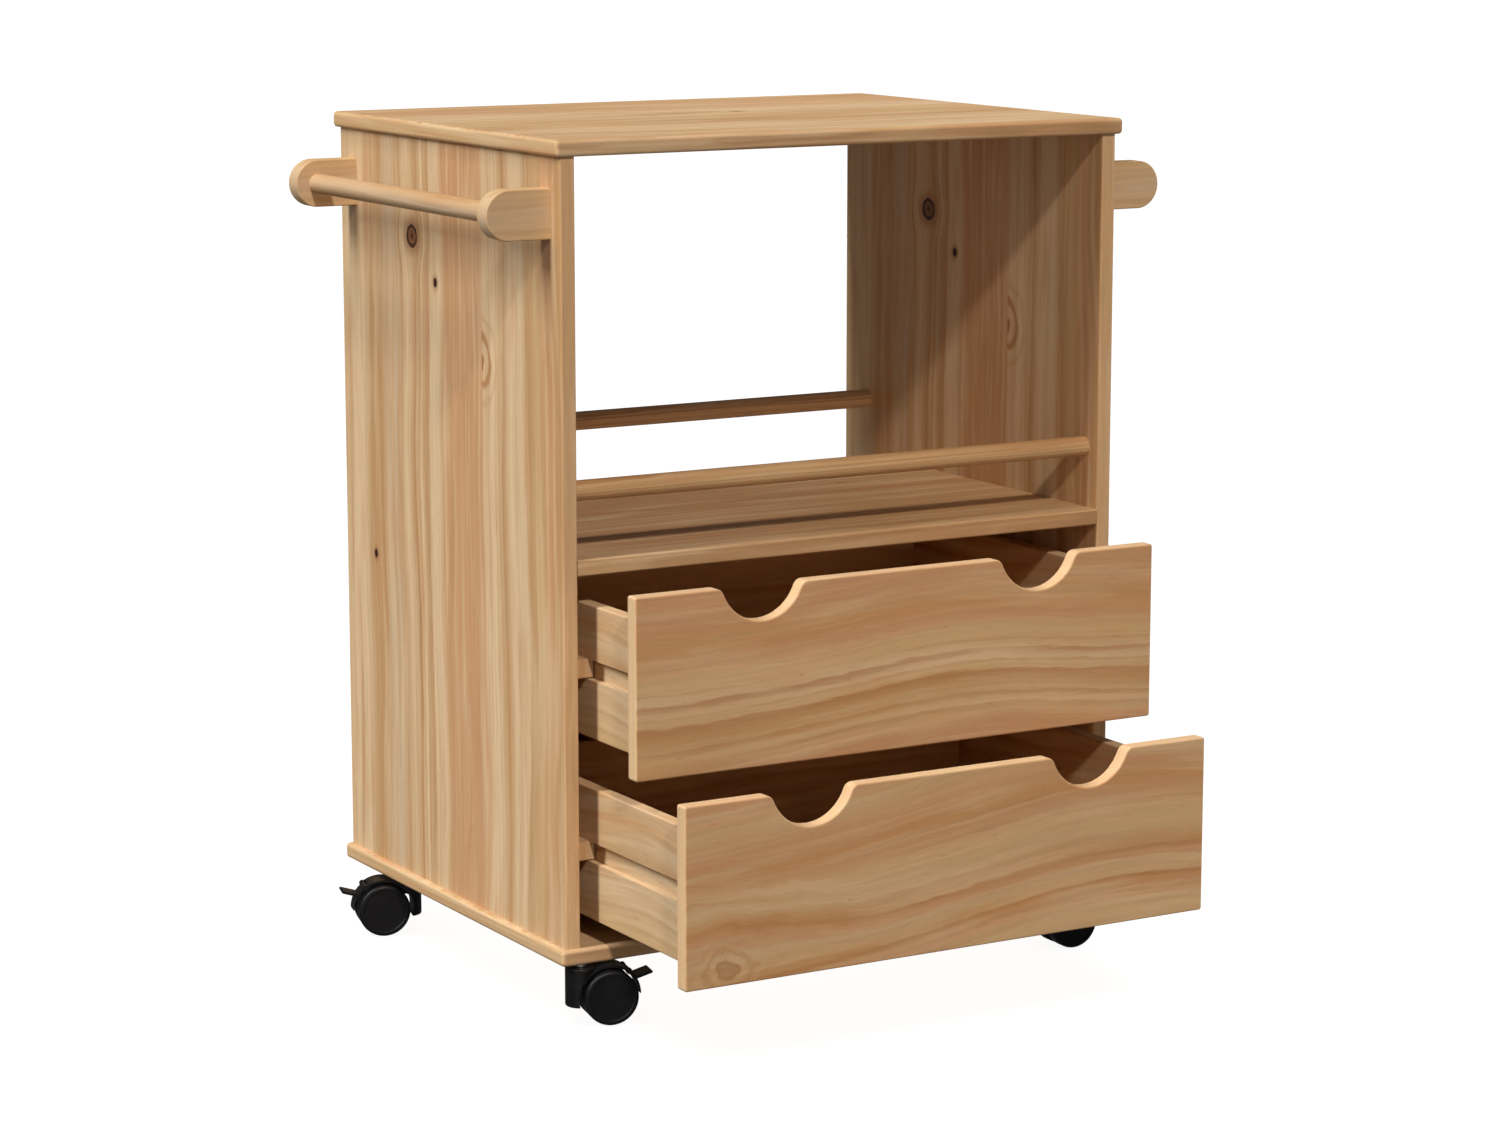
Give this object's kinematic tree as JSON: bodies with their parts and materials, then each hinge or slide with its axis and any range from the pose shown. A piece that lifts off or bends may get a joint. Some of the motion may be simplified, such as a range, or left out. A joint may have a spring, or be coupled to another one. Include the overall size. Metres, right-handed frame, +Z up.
{
  "type": "rolling pantry cart",
  "caption": "Pine kitchen cart on swivel casters: an open shelf with rails, pull-out drawers with finger scoops, and towel handles on both sides.",
  "frame": {"origin": "on the floor, below the centre of the cart's box with the drawers open as at rest", "axes": "+Z up, -Y towards the front where the drawers open, +X to the right seen from the front"},
  "size_m": [0.762, 0.692, 0.85],
  "materials": {
    "pine_board": "satin",
    "pine_front": "satin",
    "pine_plain": "satin",
    "pine_bracket": "satin",
    "pine_dowel": "satin",
    "birch_dowel": "matte",
    "thin_board": "satin",
    "caster_plastic": "satin",
    "wheel_plastic": "satin",
    "plated_steel": "zinc plated"
  },
  "bodies": {
    "cabinet": {"back_panel": "thin_board", "base_panel": "pine_board", "base_screws": "plated_steel", "caster_back_left_stem": "plated_steel", "caster_back_right_stem": "plated_steel", "caster_front_left_stem": "plated_steel", "caster_front_right_stem": "plated_steel", "caster_inserts": "plated_steel", "handle_dowels": "birch_dowel", "handle_left_bar": "pine_dowel", "handle_left_bracket_back": "pine_bracket", "handle_left_bracket_front": "pine_bracket", "handle_right_bar": "pine_dowel", "handle_right_bracket_back": "pine_bracket", "handle_right_bracket_front": "pine_bracket", "rail_back": "pine_dowel", "rail_front": "pine_dowel", "runner_lower_left": "pine_plain", "runner_lower_right": "pine_plain", "runner_screws": "plated_steel", "runner_upper_left": "pine_plain", "runner_upper_right": "pine_plain", "shelf": "pine_board", "shelf_dowels": "birch_dowel", "side_panel_left": "pine_board", "side_panel_right": "pine_board", "top_dowels": "birch_dowel", "top_panel": "pine_board"},
    "drawer_upper": {"drawer_upper_back": "pine_plain", "drawer_upper_bottom": "thin_board", "drawer_upper_dowels": "birch_dowel", "drawer_upper_front": "pine_front", "drawer_upper_side_left": "pine_plain", "drawer_upper_side_right": "pine_plain"},
    "drawer_lower": {"drawer_lower_back": "pine_plain", "drawer_lower_bottom": "thin_board", "drawer_lower_dowels": "birch_dowel", "drawer_lower_front": "pine_front", "drawer_lower_side_left": "pine_plain", "drawer_lower_side_right": "pine_plain"},
    "caster_front_left": {"caster_front_left_body": "caster_plastic", "caster_front_left_axle": "plated_steel"},
    "caster_front_left_wheel_a": {"caster_front_left_wheel_a": "wheel_plastic"},
    "caster_front_left_wheel_b": {"caster_front_left_wheel_b": "wheel_plastic"},
    "caster_front_left_brake": {"caster_front_left_brake": "caster_plastic"},
    "caster_front_right": {"caster_front_right_body": "caster_plastic", "caster_front_right_axle": "plated_steel"},
    "caster_front_right_wheel_a": {"caster_front_right_wheel_a": "wheel_plastic"},
    "caster_front_right_wheel_b": {"caster_front_right_wheel_b": "wheel_plastic"},
    "caster_back_left": {"caster_back_left_body": "caster_plastic", "caster_back_left_axle": "plated_steel"},
    "caster_back_left_wheel_a": {"caster_back_left_wheel_a": "wheel_plastic"},
    "caster_back_left_wheel_b": {"caster_back_left_wheel_b": "wheel_plastic"},
    "caster_back_left_brake": {"caster_back_left_brake": "caster_plastic"},
    "caster_back_right": {"caster_back_right_body": "caster_plastic", "caster_back_right_axle": "plated_steel"},
    "caster_back_right_wheel_a": {"caster_back_right_wheel_a": "wheel_plastic"},
    "caster_back_right_wheel_b": {"caster_back_right_wheel_b": "wheel_plastic"}
  },
  "joints": [
    {"name": "drawer_upper_slide", "type": "slide", "parent": "cabinet", "child": "drawer_upper", "axis": [0, -1, 0], "range_m": [-0.104, 0.196]},
    {"name": "drawer_lower_slide", "type": "slide", "parent": "cabinet", "child": "drawer_lower", "axis": [0, -1, 0], "range_m": [-0.197, 0.103]},
    {"name": "caster_front_left_swivel", "type": "hinge", "parent": "cabinet", "child": "caster_front_left", "pos_m": [-0.296, -0.144, 0.06], "axis": [0, 0, 1], "continuous": true},
    {"name": "caster_front_left_wheel_a_spin", "type": "hinge", "parent": "caster_front_left", "child": "caster_front_left_wheel_a", "pos_m": [-0.27008, -0.14951, 0.027], "axis": [0.2079, 0.9781, 0], "continuous": true},
    {"name": "caster_front_left_wheel_b_spin", "type": "hinge", "parent": "caster_front_left", "child": "caster_front_left_wheel_b", "pos_m": [-0.27008, -0.14951, 0.027], "axis": [0.2079, 0.9781, 0], "continuous": true},
    {"name": "caster_front_left_brake_press", "type": "hinge", "parent": "caster_front_left", "child": "caster_front_left_brake", "pos_m": [-0.25171, -0.15341, 0.05103], "axis": [0.2079, 0.9781, 0], "range_deg": [-8, 6]},
    {"name": "caster_front_right_swivel", "type": "hinge", "parent": "cabinet", "child": "caster_front_right", "pos_m": [0.296, -0.144, 0.06], "axis": [0, 0, 1], "continuous": true},
    {"name": "caster_front_right_wheel_a_spin", "type": "hinge", "parent": "caster_front_right", "child": "caster_front_right_wheel_a", "pos_m": [0.26952, -0.14308, 0.027], "axis": [-0.0349, -0.9994, 0], "continuous": true},
    {"name": "caster_front_right_wheel_b_spin", "type": "hinge", "parent": "caster_front_right", "child": "caster_front_right_wheel_b", "pos_m": [0.26952, -0.14308, 0.027], "axis": [-0.0349, -0.9994, 0], "continuous": true},
    {"name": "caster_back_left_swivel", "type": "hinge", "parent": "cabinet", "child": "caster_back_left", "pos_m": [-0.296, 0.246, 0.06], "axis": [0, 0, 1], "continuous": true},
    {"name": "caster_back_left_wheel_a_spin", "type": "hinge", "parent": "caster_back_left", "child": "caster_back_left_wheel_a", "pos_m": [-0.3216, 0.25286, 0.027], "axis": [-0.2588, -0.9659, 0], "continuous": true},
    {"name": "caster_back_left_wheel_b_spin", "type": "hinge", "parent": "caster_back_left", "child": "caster_back_left_wheel_b", "pos_m": [-0.3216, 0.25286, 0.027], "axis": [-0.2588, -0.9659, 0], "continuous": true},
    {"name": "caster_back_left_brake_press", "type": "hinge", "parent": "caster_back_left", "child": "caster_back_left_brake", "pos_m": [-0.33974, 0.25772, 0.05103], "axis": [-0.2588, -0.9659, 0], "range_deg": [-8, 6]},
    {"name": "caster_back_right_swivel", "type": "hinge", "parent": "cabinet", "child": "caster_back_right", "pos_m": [0.296, 0.246, 0.06], "axis": [0, 0, 1], "continuous": true},
    {"name": "caster_back_right_wheel_a_spin", "type": "hinge", "parent": "caster_back_right", "child": "caster_back_right_wheel_a", "pos_m": [0.3209, 0.25506, 0.027], "axis": [-0.342, 0.9397, 0], "continuous": true},
    {"name": "caster_back_right_wheel_b_spin", "type": "hinge", "parent": "caster_back_right", "child": "caster_back_right_wheel_b", "pos_m": [0.3209, 0.25506, 0.027], "axis": [-0.342, 0.9397, 0], "continuous": true}
  ]
}
